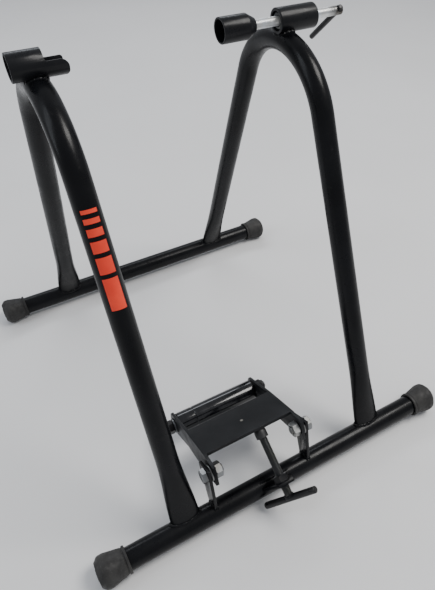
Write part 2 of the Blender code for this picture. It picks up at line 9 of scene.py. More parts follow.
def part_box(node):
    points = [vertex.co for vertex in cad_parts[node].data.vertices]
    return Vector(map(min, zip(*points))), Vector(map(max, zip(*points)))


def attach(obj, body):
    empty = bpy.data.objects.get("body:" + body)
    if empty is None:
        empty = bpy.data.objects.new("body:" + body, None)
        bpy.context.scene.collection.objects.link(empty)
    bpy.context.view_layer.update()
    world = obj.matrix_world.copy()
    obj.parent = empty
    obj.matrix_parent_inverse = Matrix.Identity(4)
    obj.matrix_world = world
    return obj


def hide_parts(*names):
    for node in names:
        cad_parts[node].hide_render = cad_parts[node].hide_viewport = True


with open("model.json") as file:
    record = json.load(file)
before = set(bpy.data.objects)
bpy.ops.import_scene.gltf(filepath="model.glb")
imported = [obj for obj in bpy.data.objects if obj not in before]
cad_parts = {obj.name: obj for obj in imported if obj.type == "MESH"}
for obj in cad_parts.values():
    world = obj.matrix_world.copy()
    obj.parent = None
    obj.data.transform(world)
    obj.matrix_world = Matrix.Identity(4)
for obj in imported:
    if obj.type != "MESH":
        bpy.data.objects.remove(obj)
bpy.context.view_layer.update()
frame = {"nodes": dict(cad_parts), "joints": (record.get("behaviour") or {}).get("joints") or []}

# ---------------- places from the frame
JOINTS = {joint["name"]: joint for joint in frame["joints"]}
ACROSS = Vector((1, 0, 0))
UP = Vector((0, 0, 1))
RING = 96  # steps round a turned piece
SMALL_RING = 64  # steps round a washer, bush or collar
FILLET_STEPS = 4  # steps round each rounded corner of a profile
THREAD_PITCH = 0.00125  # M8 coarse
THREAD_DEPTH = 0.00055
THREAD_STEPS = 32  # steps round a thread
THREAD_SAMPLES = 8  # rings in each turn of a thread
THREAD_LEAD = 0.0010  # length over which a thread fades in at each end


def low(node):
    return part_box(node)[0]


def high(node):
    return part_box(node)[1]


def middle(node):
    return (low(node) + high(node)) / 2


def extent(node):
    return high(node) - low(node)


def end_x(node, direction):
    """The x of a node's end on the left (-1) or on the right (1)."""
    return low(node).x if direction < 0 else high(node).x


def on_line(centre, x):
    """The point at x on the left-to-right line through centre."""
    return Vector((x, centre.y, centre.z))


def ends_on(centre, node):
    """Where a node's left and right ends are on that line."""
    return on_line(centre, low(node).x), on_line(centre, high(node).x)


TUBE = extent("rear_base_tube").z / 2
HOOP_CRUSH = 0.42  # how much wider the squeezed ends of the legs are
HOOP = extent("left_hoop").x / 2 / (1 + HOOP_CRUSH)
WALL = 0.0015  # of every tube
CLAMP = middle("right_sleeve")
CLAMP_TUBE = extent("right_sleeve").y / 2
ROD = extent("lift_screw").x / 2
ROD_BORE = ROD + 0.0003  # holes that an M8 rod passes through
CUP_NECK = ROD - 0.0007  # holes on the clamp rod's thinner neck
T_BAR = 0.0034  # radius of the lifting screw's cross bar
PIVOT = Vector(JOINTS["cradle_tilt"]["pos_m"])
ROLLER = Vector(JOINTS["roller_spin"]["pos_m"])
LIFT = Vector(JOINTS["lift_slide"]["axis"]).normalized()
LIFT_FOOT = Vector(JOINTS["lift_turn"]["pos_m"])

# ---------------- node helpers for materials


class Recipe:
    """A Principled material and short calls that add nodes to it."""

    def __init__(self, name):
        self.material = bpy.data.materials.new(name)
        self.material.use_nodes = True
        self.tree = self.material.node_tree
        self.shader = self.tree.nodes["Principled BSDF"]
        self.place = self.node("ShaderNodeTexCoord", {}).outputs["Object"]

    def node(self, kind, inputs, **settings):
        """Add a node; each input is a value or the socket that it is linked to."""
        made = self.tree.nodes.new(kind)
        for key, value in settings.items():
            setattr(made, key, value)
        for key, value in inputs.items():
            if isinstance(value, bpy.types.NodeSocket):
                self.tree.links.new(value, made.inputs[key])
            else:
                made.inputs[key].default_value = value
        return made

    def stretched(self, scale):
        """The object place, scaled differently along each axis."""
        inputs = {"Scale": scale, "Vector": self.place}
        return self.node("ShaderNodeMapping", inputs).outputs["Vector"]

    def noise(self, scale, detail=3.0, rough=0.5, place=None):
        inputs = {"Scale": scale, "Detail": detail, "Roughness": rough}
        inputs["Vector"] = place or self.place
        return self.node("ShaderNodeTexNoise", inputs).outputs["Fac"]

    def cells(self, scale):
        inputs = {"Scale": scale, "Vector": self.place}
        return self.node("ShaderNodeTexVoronoi", inputs, feature="F1").outputs["Distance"]

    def spread(self, value, start, full, to_low=0.0, to_high=1.0):
        """A smooth step: to_low where value is at start, to_high where it is at full."""
        inputs = {"Value": value, "From Min": start, "From Max": full}
        inputs |= {"To Min": to_low, "To Max": to_high}
        made = self.node("ShaderNodeMapRange", inputs, interpolation_type="SMOOTHSTEP")
        return made.outputs["Result"]

    def patches(self, grain, start, full, to_low=0.0, to_high=1.0):
        """Soft-edged patches of noise; grain is its scale, detail and, if given, roughness."""
        return self.spread(self.noise(*grain), start, full, to_low, to_high)

    def math(self, operation, first, second):
        inputs = {0: first, 1: second}
        return self.node("ShaderNodeMath", inputs, operation=operation).outputs["Value"]

    def blend(self, factor, first, second):
        """A colour mix; each colour is three numbers or a socket."""
        colours = [(*c, 1) if isinstance(c, tuple) else c for c in (first, second)]
        inputs = {"Factor": factor, 6: colours[0], 7: colours[1]}
        return self.node("ShaderNodeMix", inputs, data_type="RGBA").outputs[2]

    def edges(self, radius, start, full):
        """Where the surface turns sharply outward or inward, for wear."""
        rounded = self.node("ShaderNodeBevel", {"Radius": radius}, samples=6).outputs["Normal"]
        true = self.node("ShaderNodeNewGeometry", {}).outputs["Normal"]
        facing = self.node("ShaderNodeVectorMath", {0: rounded, 1: true}, operation="DOT_PRODUCT")
        return self.spread(facing.outputs["Value"], start, full)

    def along_x(self, start, full):
        """0 to 1 along the object's X between two places."""
        parts = self.node("ShaderNodeSeparateXYZ", {"Vector": self.place})
        return self.spread(parts.outputs["X"], start, full)

    def bump(self, value, distance, strength, under=None):
        inputs = {"Distance": distance, "Strength": strength, "Height": value}
        if under is not None:
            inputs["Normal"] = under
        return self.node("ShaderNodeBump", inputs).outputs["Normal"]

    def finish(self, colour, roughness, normal, **fixed):
        for key, value in (("Base Color", colour), ("Roughness", roughness), ("Normal", normal)):
            self.tree.links.new(value, self.shader.inputs[key])
        for key, value in fixed.items():
            self.shader.inputs[key.replace("_", " ")].default_value = value
        return self.material


def painted(name, dark, pale, sheen, peel, wear, chip=None):
    """Black paint over steel: orange peel, dust, rubbed edges and, if given, one chipped spot."""
    look = Recipe(name)
    cloud = look.patches((22, 4), 0.35, 0.70)
    body = look.blend(cloud, dark, pale)
    dust = look.patches((160, 5, 0.65), 0.58, 0.80, 0.0, 0.22)
    body = look.blend(dust, body, (0.040, 0.039, 0.037))
    worn = look.edges(0.0007, 0.86, 0.62)
    patchy = look.patches((240, 4, 0.6), 0.52 - wear, 0.66 - wear)
    worn = look.math("MULTIPLY", worn, patchy)
    body = look.blend(worn, body, (0.16, 0.155, 0.15))
    if chip:
        away = look.node("ShaderNodeVectorMath", {0: look.place, 1: chip}, operation="DISTANCE")
        spot = look.spread(away.outputs["Value"], 0.0010, 0.0019, 0.9, 0.0)
        body = look.blend(spot, body, (0.21, 0.20, 0.18))
    smear = look.patches((60, 4, 0.6), 0.30, 0.75, sheen, sheen + 0.16)
    fine = look.patches((900, 2), 0.30, 0.70, -0.04, 0.04)
    rough = look.math("ADD", smear, fine)
    grain = look.bump(look.noise(peel, 2, 0.4), 0.00006, 0.55)
    dents = look.bump(look.noise(70, 2), 0.00025, 0.25, grain)
    coat = {"Coat_Weight": 0.08, "Coat_Roughness": 0.12}
    return look.finish(body, rough, dents, Specular_IOR_Level=0.15, **coat)


def gloss_roller():
    """Glossy black with fine rings where the tyre has run."""
    look = Recipe("roller_gloss_black")
    rings = look.noise(5.0, 3, 0.5, look.stretched((90, 1, 1)))
    streaks = look.spread(rings, 0.35, 0.75)
    body = look.blend(streaks, (0.0035, 0.0040, 0.0052), (0.0090, 0.0096, 0.0115))
    scuffs = look.patches((90, 4, 0.6), 0.60, 0.82, 0.0, 0.25)
    body = look.blend(scuffs, body, (0.030, 0.030, 0.032))
    rough = look.spread(rings, 0.25, 0.80, 0.12, 0.20)
    lines = look.bump(rings, 0.00002, 0.15)
    coat = {"Coat_Weight": 0.30, "Coat_Roughness": 0.06}
    return look.finish(body, rough, lines, Specular_IOR_Level=0.5, **coat)


def zinc(name, tone, polish, aged=None):
    """Zinc plate: faint clouds, tool marks and a little dirt.

    aged gives two places along X: clean at the first, all brown at the second.
    """
    look = Recipe(name)
    cloud = look.patches((70, 3, 0.5), 0.30, 0.72)
    cool = tuple(tone * part for part in (0.92, 0.96, 1.0))
    warm = tuple(tone * part for part in (0.80, 0.79, 0.74))
    body = look.blend(cloud, cool, warm)
    grime = look.patches((260, 4, 0.6), 0.60, 0.84, 0.0, 0.30)
    body = look.blend(grime, body, (0.20, 0.185, 0.16))
    if aged:
        outward = look.along_x(*aged)
        blotches = look.patches((150, 3), 0.20, 0.55, 0.6, 0.95)
        tarnish = look.math("MULTIPLY", outward, blotches)
        body = look.blend(tarnish, body, (0.055, 0.046, 0.036))
    rough = look.patches((180, 3, 0.5), 0.25, 0.80, polish, polish + 0.12)
    marks = look.bump(look.noise(700, 2), 0.00002, 0.25)
    return look.finish(body, rough, marks, Metallic=1.0)


def black_oxide(name):
    """Blackened steel with rubbed bright edges and oily patches."""
    look = Recipe(name)
    cloud = look.patches((90, 4), 0.30, 0.75)
    body = look.blend(cloud, (0.009, 0.009, 0.0105), (0.026, 0.0255, 0.0255))
    worn = look.edges(0.0004, 0.90, 0.60)
    worn = look.math("MULTIPLY", worn, look.patches((500, 3), 0.40, 0.66))
    body = look.blend(worn, body, (0.20, 0.195, 0.19))
    rough = look.patches((180, 4, 0.6), 0.30, 0.75, 0.26, 0.46)
    marks = look.bump(look.noise(1100, 3), 0.00004, 0.6)
    return look.finish(body, rough, marks, Metallic=0.55, Specular_IOR_Level=0.5)


def foot_rubber():
    """Dusty dark grey rubber with a moulded grain, paler where it scuffs the floor."""
    look = Recipe("foot_rubber_grey")
    cloud = look.patches((45, 4), 0.30, 0.72)
    body = look.blend(cloud, (0.017, 0.0165, 0.0165), (0.040, 0.039, 0.037))
    specks = look.patches((700, 4, 0.7), 0.55, 0.78, 0.0, 0.5)
    body = look.blend(specks, body, (0.085, 0.082, 0.076))
    scuff = look.edges(0.0009, 0.93, 0.72)
    scuff = look.math("MULTIPLY", scuff, look.patches((120, 3), 0.40, 0.62))
    body = look.blend(scuff, body, (0.15, 0.14, 0.125))
    rough = look.patches((240, 3), 0.30, 0.72, 0.52, 0.78)
    grain = look.bump(look.noise(1500, 2), 0.00007, 0.6)
    swell = look.bump(look.noise(90, 2), 0.0003, 0.3, grain)
    return look.finish(body, rough, swell, Specular_IOR_Level=0.38)


def moulded_nylon():
    """Black nylon, matt from the mould."""
    look = Recipe("moulded_nylon_black")
    cloud = look.patches((140, 3), 0.32, 0.70)
    body = look.blend(cloud, (0.014, 0.014, 0.015), (0.036, 0.036, 0.037))
    rough = look.patches((500, 3), 0.30, 0.72, 0.38, 0.58)
    grain = look.bump(look.noise(1300, 2), 0.00005, 0.5)
    return look.finish(body, rough, grain, Specular_IOR_Level=0.45)


def decal_vinyl():
    """Red-orange vinyl with tiny bubbles, faded spots and rubbed edges."""
    look = Recipe("decal_vinyl_orange")
    cloud = look.patches((60, 4), 0.30, 0.72)
    body = look.blend(cloud, (0.93, 0.060, 0.022), (0.80, 0.040, 0.015))
    fading = look.patches((520, 4, 0.7), 0.60, 0.80, 0.0, 0.45)
    body = look.blend(fading, body, (0.50, 0.075, 0.045))
    rough = look.patches((300, 3), 0.30, 0.72, 0.36, 0.52)
    bubbles = look.bump(look.cells(420), 0.00005, 0.4)
    return look.finish(body, rough, bubbles, Specular_IOR_Level=0.45)


# after the two colours: the least roughness, how fine the grain is, how rubbed the paint is
PAINT = painted(
    "frame_paint_black", (0.0024, 0.0026, 0.0034), (0.0056, 0.0060, 0.0074), 0.25, 460, 0.00
)
CLAMP_PAINT = painted(
    "clamp_paint_black", (0.0050, 0.0054, 0.0065), (0.0100, 0.0106, 0.0124), 0.27, 520, 0.02
)
# the bright spot on the plate, as shares of the bracket's box
CHIP = low("cradle_bracket") + extent("cradle_bracket") * Vector((0.524, 0.407, 0.803))
CRADLE_PAINT = painted(
    "cradle_paint_black", (0.0050, 0.0056, 0.0066), (0.0110, 0.0118, 0.0134), 0.34, 420, 0.05, CHIP
)
GLOSS = gloss_roller()
# a brighter copy of the dull zinc: painted light, used only on the right pivot nut, whose twin on
# the left is dull
ZINC_LIT = zinc("zinc_plate_lit_copy", 0.50, 0.26)
ROD_AGED = high("right_sleeve").x + 0.012, high("clamp_rod").x - 0.006
ZINC_ROD = zinc("zinc_plate_rod", 0.84, 0.34, ROD_AGED)
ZINC_DULL = zinc("zinc_plate_dull", 0.26, 0.30)
# very dark zinc: on the sleeve's nut it is painted shade of the sleeve's hollow end; on the lifting
# screw it is the screw's own dark tone
ZINC_DARK_AND_SHADE = zinc("zinc_plate_dark_and_shade", 0.09, 0.36)
OXIDE = black_oxide("black_oxide_steel")
RUBBER = foot_rubber()
NYLON = moulded_nylon()
VINYL = decal_vinyl()

# ---------------- mesh helpers


def frame_of(axis, hint=UP):
    """Two unit vectors across an axis; the first leans towards hint."""
    axis = axis.normalized()
    if abs(axis.dot(hint)) > 0.99:
        hint = ACROSS
    first = (hint - axis * hint.dot(axis)).normalized()
    return first, axis.cross(first)


def spoke(first, second, turn):
    """The direction at an angle from first towards second."""
    return first * math.cos(turn) + second * math.sin(turn)


def turns(count):
    """Equal steps round a full turn."""
    return [math.tau * i / count for i in range(count)]


def quarter(steps, skip=0):
    """The sines and cosines of a quarter turn in equal steps."""
    angles = [math.pi / 2 * k / steps for k in range(skip, steps + 1)]
    return [(math.sin(angle), math.cos(angle)) for angle in angles]


ON_FRAME = "frame", PAINT, "frame_paint"


def keep(piece, body, material, slot, *nodes, sharp=32):
    """Shade, paint and hand a piece to its body and to the CAD nodes that it stands for."""
    piece.data.materials.clear()
    piece.data.materials.append(material)
    for face in piece.data.polygons:
        face.use_smooth = True
    piece.data.set_sharp_from_angle(angle=math.radians(sharp))
    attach(piece, body)
    if nodes:
        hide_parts(*nodes)
    return piece


def in_scene(name, data):
    """Put a mesh, light or camera in the scene as an object."""
    thing = bpy.data.objects.new(name, data)
    bpy.context.scene.collection.objects.link(thing)
    return thing


def from_bmesh(name, shape):
    bmesh.ops.recalc_face_normals(shape, faces=shape.faces)
    mesh = bpy.data.meshes.new(name)
    shape.to_mesh(mesh)
    shape.free()
    return in_scene(name, mesh)


def loft(name, rings, looped=False):
    """A skin over rings of points: closed at both ends, or looped from the last to the first."""
    shape = bmesh.new()
    layers = [[shape.verts.new(point) for point in ring] for ring in rings]
    pairs = list(zip(layers, layers[1:]))
    if looped:
        pairs.append((layers[-1], layers[0]))
    for first, second in pairs:
        count = len(first)
        for i in range(count):
            j = (i + 1) % count
            shape.faces.new((first[i], first[j], second[j], second[i]))
    if not looped:
        for layer in (layers[0], layers[-1]):
            shape.faces.new(layer)
    return from_bmesh(name, shape)


def filleted(profile):
    """A profile of (radius, distance, fillet) corners with each corner rounded to its fillet."""
    out = []
    count = len(profile)
    for i, (radius, along, fillet) in enumerate(profile):
        here = Vector((radius, along))
        if fillet <= 0:
            out.append(here)
            continue
        before = Vector(profile[i - 1][:2]) - here
        after = Vector(profile[(i + 1) % count][:2]) - here
        angle = before.angle(after)
        reach = min(fillet / math.tan(angle / 2), before.length * 0.48, after.length * 0.48)
        start = here + before.normalized() * reach
        end = here + after.normalized() * reach
        for step in range(FILLET_STEPS + 1):
            t = step / FILLET_STEPS
            out.append(start * (1 - t) ** 2 + here * 2 * t * (1 - t) + end * t ** 2)
    return out


def lathe(name, profile, origin, axis, steps=RING, looped=False):
    """Turn a profile of (radius, distance, fillet) corners about an axis through origin."""
    first, second = frame_of(axis)
    axis = axis.normalized()
    rings = []
    for radius, along in filleted(profile):
        radius = max(radius, 0.00002)
        centre = origin + axis * along
        rings.append([centre + spoke(first, second, turn) * radius for turn in turns(steps)])
    return loft(name, rings, looped)


def tube(name, outer, inner, start, end, soft=0.0004, steps=RING):
    """A hollow cylinder with softened rims."""
    span = (end - start).length
    profile = [(outer, span, soft), (outer, 0, soft), (inner, 0, soft), (inner, span, soft)]
    return lathe(name, profile, start, end - start, steps, looped=True)


def bar(name, radius, start, end, soft, steps=48):
    """A solid round bar with rounded ends."""
    span = (end - start).length
    profile = [(0, span, 0), (radius, span, soft), (radius, 0, soft), (0, 0, 0)]
    return lathe(name, profile, start, end - start, steps)


def thread_rings(radius, start, span, axis, depth):
    """Rings of a helical M8 thread from start over span, tapered off at both ends."""
    first, second = frame_of(axis)
    axis = axis.normalized()
    count = max(2, round(span / THREAD_PITCH * THREAD_SAMPLES))
    rings = []
    for k in range(count + 1):
        along = span * k / count
        fade = min(1.0, along / THREAD_LEAD, (span - along) / THREAD_LEAD)
        ring = []
        for i in range(THREAD_STEPS):
            phase = (along / THREAD_PITCH - i / THREAD_STEPS) % 1.0
            crest = 1 - abs(2 * phase - 1)
            crest = min(1.0, crest * 1.35)  # a flat land on top of each turn
            here = radius - depth * (1 - crest * fade)
            turn = math.tau * i / THREAD_STEPS
            ring.append(start + axis * along + spoke(first, second, turn) * here)
        rings.append(ring)
    return rings


def plain_ring(radius, centre, axis):
    """A round ring with as many steps as a thread's."""
    first, second = frame_of(axis)
    return [centre + spoke(first, second, turn) * radius for turn in turns(THREAD_STEPS)]


def threaded_bar(name, start, end):
    """An M8 bar, threaded all along, with chamfered ends."""
    axis = (end - start).normalized()
    span = (end - start).length
    root = ROD - THREAD_DEPTH
    chamfer = 0.0006
    rings = [plain_ring(root * 0.2, start, axis), plain_ring(root - chamfer / 2, start, axis)]
    rings += thread_rings(ROD, start + axis * chamfer, span - 2 * chamfer, axis, THREAD_DEPTH)
    rings += [plain_ring(root - chamfer / 2, end, axis), plain_ring(root * 0.2, end, axis)]
    return loft(name, rings)


def hexagon_at(turn, flats):
    """The radius of a hexagon's outline in a direction; flats face the multiples of 60 degrees."""
    return flats / 2 / math.cos((turn + math.radians(30)) % math.radians(60) - math.radians(30))


def hex_piece(name, base, axis, flats, height, bore, chamfers=(True, True), roll=0.0, dish=0.0):
    """A chamfered hexagon: a nut, or where bore is 0 a bolt head with a dished top."""
    axis = axis.normalized()
    first, second = frame_of(axis)
    contact = flats / 2 * 0.96  # radius where the chamfer starts
    fall = math.tan(math.radians(30))

    def ring(radius_of, height_of):
        points = []
        for turn in turns(RING):
            radius = radius_of(turn)
            direction = spoke(first, second, turn + roll)
            points.append(base + direction * radius + axis * height_of(radius))
        return points

    def side(turn):
        return hexagon_at(turn, flats) - 0.0001

    def bottom(radius):
        return max(0.0, radius - contact) * fall if chamfers[0] else 0.0

    def top(radius):
        return height - (max(0.0, radius - contact) * fall if chamfers[1] else 0.0)

    soft = 0.00015
    mouth_wide, mouth_deep = 0.0006, 0.0005  # the countersink at each end of a nut's thread
    tip = 0.0002  # radius of the small face that closes a bolt head's middle
    outline = [
        (lambda t: contact, lambda r: 0.0),
        (lambda t: side(t) - soft, bottom),
        (side, lambda r: bottom(r) + soft),
        (side, lambda r: top(r) - soft),
        (lambda t: side(t) - soft, top),
        (lambda t: contact, lambda r: height),
    ]
    if bore:
        outline += [
            (lambda t: bore + mouth_wide, lambda r: height),
            (lambda t: bore, lambda r: height - mouth_deep),
            (lambda t: bore, lambda r: mouth_deep),
            (lambda t: bore + mouth_wide, lambda r: 0.0),
        ]
    else:
        outline.insert(0, (lambda t: tip, lambda r: 0.0))
        outline += [
            (lambda t: contact * 0.80, lambda r: height - dish * 0.2),
            (lambda t: contact * 0.72, lambda r: height - dish),
            (lambda t: tip, lambda r: height - dish),
        ]
    return loft(name, [ring(*pair) for pair in outline], looped=bool(bore))


def bead(name, path, radius, seed, ripple=0.0011, closed=True):
    """A weld bead along a path: overlapping scallops of uneven size."""
    steps = 12
    flat = 0.72  # height as a share of width
    lengths = [0.0]
    total = len(path) if closed else len(path) - 1
    for i in range(total):
        lengths.append(lengths[-1] + (path[(i + 1) % len(path)] - path[i]).length)
    rings = []
    waves = max(3, round(lengths[-1] / ripple))
    for i, point in enumerate(path):
        before = path[i - 1] if closed or i > 0 else point
        after = path[(i + 1) % len(path)] if closed or i < len(path) - 1 else point
        along = (after - before).normalized()
        first, second = frame_of(along, Vector((0.31, 0.52, 0.80)).normalized())
        share = lengths[i] / lengths[-1]
        scallop = 0.82 + 0.20 * abs(math.sin(math.pi * waves * share))
        uneven = 1 + 0.22 * noise.noise(Vector((share * 23 + seed * 7.3, seed, 0.4)))
        end_fade = 1.0
        if not closed:
            end_fade = min(1.0, 0.35 + 8 * share, 0.35 + 8 * (1 - share))
        here = radius * scallop * uneven * end_fade
        ring = []
        for turn in turns(steps):
            sideways = first * math.cos(turn) * here
            ring.append(point + sideways + second * math.sin(turn) * here * flat)
        rings.append(ring)
    return loft(name, rings, looped=closed)


def copy_of(node, name):
    """A clean copy of a CAD node's mesh, for pieces whose flat shape is already right."""
    mesh = frame["nodes"][node].data.copy()
    mesh.name = name
    shape = bmesh.new()
    shape.from_mesh(mesh)
    bmesh.ops.remove_doubles(shape, verts=shape.verts, dist=0.00002)
    limit = math.radians(1)
    bmesh.ops.dissolve_limit(shape, angle_limit=limit, verts=shape.verts, edges=shape.edges)
    shape.to_mesh(mesh)
    shape.free()
    return in_scene(name, mesh)


def apply_modifiers(piece):
    """Put the evaluated mesh in the place of the piece's own."""
    bpy.context.view_layer.update()
    evaluated = piece.evaluated_get(bpy.context.evaluated_depsgraph_get())
    mesh = bpy.data.meshes.new_from_object(evaluated)
    piece.modifiers.clear()
    piece.data = mesh


def soften(piece, width, angle=30):
    """Bevel every edge sharper than angle."""
    bevel = piece.modifiers.new("soften", "BEVEL")
    bevel.width = width
    bevel.segments = 2
    bevel.limit_method = "ANGLE"
    bevel.angle_limit = math.radians(angle)
    bevel.harden_normals = False
    apply_modifiers(piece)
    return piece


def subtract(piece, cutter):
    """Cut one piece out of another and throw the cutter away."""
    cut = piece.modifiers.new("cut", "BOOLEAN")
    cut.operation = "DIFFERENCE"
    cut.solver = "EXACT"
    cut.object = cutter
    apply_modifiers(piece)
    bpy.data.objects.remove(cutter, do_unlink=True)


def short_ring(node, suffix, centre, soft, body, material, slot, bore=ROD_BORE, steps=SMALL_RING):
    """A washer, bush or clip: a short ring in a node's place, on the line through centre."""
    ends = ends_on(centre, node)
    ring = tube(node + suffix, extent(node).y / 2, bore, *ends, soft=soft, steps=steps)
    keep(ring, body, material, slot, node)


# ---------------- base tubes and rubber feet


def base_tube(node):
    piece = tube(node + "_fine", TUBE, TUBE - WALL, *ends_on(middle(node), node))
    keep(piece, *ON_FRAME, node)


def foot(node, direction):
    """The ferrule: lip, groove, flare, body and a shallow domed end with a moulded ring."""
    big = extent(node).y / 2
    neck = big * 0.81
    rim = end_x(node, -direction)
    origin = Vector((rim, middle(node).y, middle("rear_base_tube").z))
    span = extent(node).x
    bore = TUBE + 0.0003
    pocket = span * 0.77  # how far the floor tube goes in
    profile = [
        (0, span, 0),
        (big * 0.36, span, 0.0010),
        (big * 0.42, span - 0.0008, 0.0008),
        (big * 0.60, span - 0.0008, 0.0010),
        (big * 0.70, span - 0.0005, 0.0030),
        (big * 0.985, span - 0.0046, 0.0034),
        (big, span * 0.66, 0.0045),
        (neck * 1.015, span * 0.20, 0.0040),
        (neck * 0.985, span * 0.135, 0.0003),
        (neck * 0.950, span * 0.120, 0.0002),
        (neck * 0.950, span * 0.095, 0.0002),
        (neck * 1.040, span * 0.080, 0.0005),
        (neck * 1.040, 0, 0.0006),
        (bore, 0, 0.0003),
        (bore, pocket, 0),
        (0, pocket, 0),
    ]
    piece = lathe(node + "_moulded", profile, origin, ACROSS * direction)
    floor = low(node).z
    for vertex in piece.data.vertices:
        vertex.co.z = max(vertex.co.z, floor)
        waviness = noise.noise(vertex.co * 120) * 0.00012
        if vertex.co.z > floor + 0.001:
            vertex.co.y += waviness
    keep(piece, "frame", RUBBER, "foot_rubber", node, sharp=40)


for end in ("rear", "front"):
    base_tube(end + "_base_tube")
    foot("foot_cap_" + end + "_left", -1)
    foot("foot_cap_" + end + "_right", 1)

# ---------------- hoops
REAR = middle("rear_base_tube")
FRONT = middle("front_base_tube")
HALF_BASE = (FRONT.y - REAR.y) / 2
MIDDLE_Y = (FRONT.y + REAR.y) / 2
ARCH = 0.0694  # centreline radius of the bend
SADDLE = 0.0169  # from the clamp's axis down to the arch's centreline
ARCH_Z = CLAMP.z - SADDLE - ARCH
RISE = ARCH_Z - REAR.z
# the legs' lean from upright: lines from the floor tubes' axes that touch the arch's circle
LEG_ANGLE = math.acos(ARCH / math.hypot(HALF_BASE, RISE)) - math.atan2(RISE, HALF_BASE)
LEG_LENGTH = (ARCH_Z + ARCH * math.sin(LEG_ANGLE) - REAR.z) / math.cos(LEG_ANGLE)
CRUSH_TOP = 0.074  # height above the floor tube's axis where the squeeze starts
CRUSH_FULL = 0.008  # and where it is complete
HOOP_STEPS = 56  # steps round the hoop tube
LEG_STEPS = 26  # sections along a leg, closer together near the foot
LEG_CROWDING = 1.8
ARCH_STEPS = 60  # sections along the bend


def leg_frame(toward):
    """Foot point, direction up the leg, and outward normal of the leg on one side."""
    foot_point = Vector((0, MIDDLE_Y + toward * HALF_BASE, REAR.z))
    outward = Vector((0, toward * math.cos(LEG_ANGLE), math.sin(LEG_ANGLE)))
    upward = Vector((0, -toward * math.sin(LEG_ANGLE), math.cos(LEG_ANGLE)))
    return foot_point, upward, outward


def crush_at(height):
    """How much wider the tube is, and how much thinner, at a height above the floor tube."""
    amount = max(0.0, min(1.0, (CRUSH_TOP - height) / (CRUSH_TOP - CRUSH_FULL)))
    return HOOP_CRUSH * amount * amount * (3 - 2 * amount)


def hoop_section(x, centre, outward, squeeze):
    ring = []
    for turn in turns(HOOP_STEPS):
        wide = ACROSS * math.cos(turn) * HOOP * (1 + squeeze)
        deep = outward * math.sin(turn) * HOOP * (1 - squeeze)
        ring.append(Vector((x, 0, 0)) + centre + wide + deep)
    return ring


def hoop(node):
    """One bent tube: up the rear leg, over the arch and down the front leg."""
    x = middle(node).x
    rings = []
    for toward in (-1, 1):
        foot_point, upward, outward = leg_frame(toward)
        leg = []
        for step in range(LEG_STEPS):
            share = (step / LEG_STEPS) ** LEG_CROWDING
            centre = foot_point + upward * LEG_LENGTH * share
            leg.append(hoop_section(x, centre, outward, crush_at(centre.z - REAR.z)))
        if toward < 0:
            rings += leg
            for step in range(ARCH_STEPS + 1):
                turn = math.pi - LEG_ANGLE - (math.pi - 2 * LEG_ANGLE) * step / ARCH_STEPS
                outward = Vector((0, math.cos(turn), math.sin(turn)))
                centre = Vector((0, MIDDLE_Y, ARCH_Z)) + outward * ARCH
                rings.append(hoop_section(x, centre, outward, 0.0))
        else:
            rings += reversed(leg)
    piece = loft(node + "_bent_tube", rings)
    keep(piece, *ON_FRAME, node, sharp=50)


def leg_weld(node, toward, seed):
    """The bead where a leg's squeezed end meets its base tube."""
    x = middle(node).x
    foot_point, upward, outward = leg_frame(toward)
    squeeze = crush_at(0.0)
    outside = 1.03  # the bead's middle runs just outside the leg
    path = []
    for turn in turns(150):
        offset = outward * math.sin(turn) * HOOP * (1 - squeeze) * outside
        sideways = math.cos(turn) * HOOP * (1 + squeeze) * outside
        reach = math.sqrt(TUBE ** 2 - offset.dot(outward) ** 2)
        path.append(Vector((x + sideways, 0, 0)) + foot_point + offset + upward * (reach + 0.0002))
    name = node + ("_weld_rear" if toward < 0 else "_weld_front")
    keep(bead(name, path, 0.0019, seed=seed), *ON_FRAME)


def saddle_weld(node, seed):
    """The bead where a clamp tube sits on the arch."""
    x = middle(node).x
    path = []

    def depth(psi):
        """How far off the arch's centreline the clamp tube's skin is at an angle, and where."""
        y = CLAMP_TUBE * math.sin(psi)
        z = CLAMP.z - CLAMP_TUBE * math.cos(psi)
        return math.hypot(y, z - ARCH_Z) - ARCH, Vector((0, MIDDLE_Y + y, z))

    widest = 0.0
    while abs(depth(widest)[0]) < HOOP and widest < 1.5:
        widest += 0.002
    count = 60
    clear = 0.0009  # from the clamp tube's skin to the bead's middle
    for side in (1, -1):
        for step in range(count):
            turn = math.pi * (step + 0.5) / count - math.pi / 2
            psi = side * widest * math.sin(turn)
            off, point = depth(psi)
            half = math.sqrt(max(HOOP ** 2 - off ** 2, 0.0000002))
            down = Vector((0, math.sin(psi), -math.cos(psi)))
            path.append(Vector((x + side * half, 0, 0)) + point + down * clear)
    keep(bead(node + "_saddle_weld", path, 0.0023, seed=seed), *ON_FRAME)


for number, node in enumerate(("left_hoop", "right_hoop")):
    hoop(node)
    leg_weld(node, -1, 3 + number)
    leg_weld(node, 1, 11 + number)
    saddle_weld(node, 19 + number)

# ---------------- left axle cup


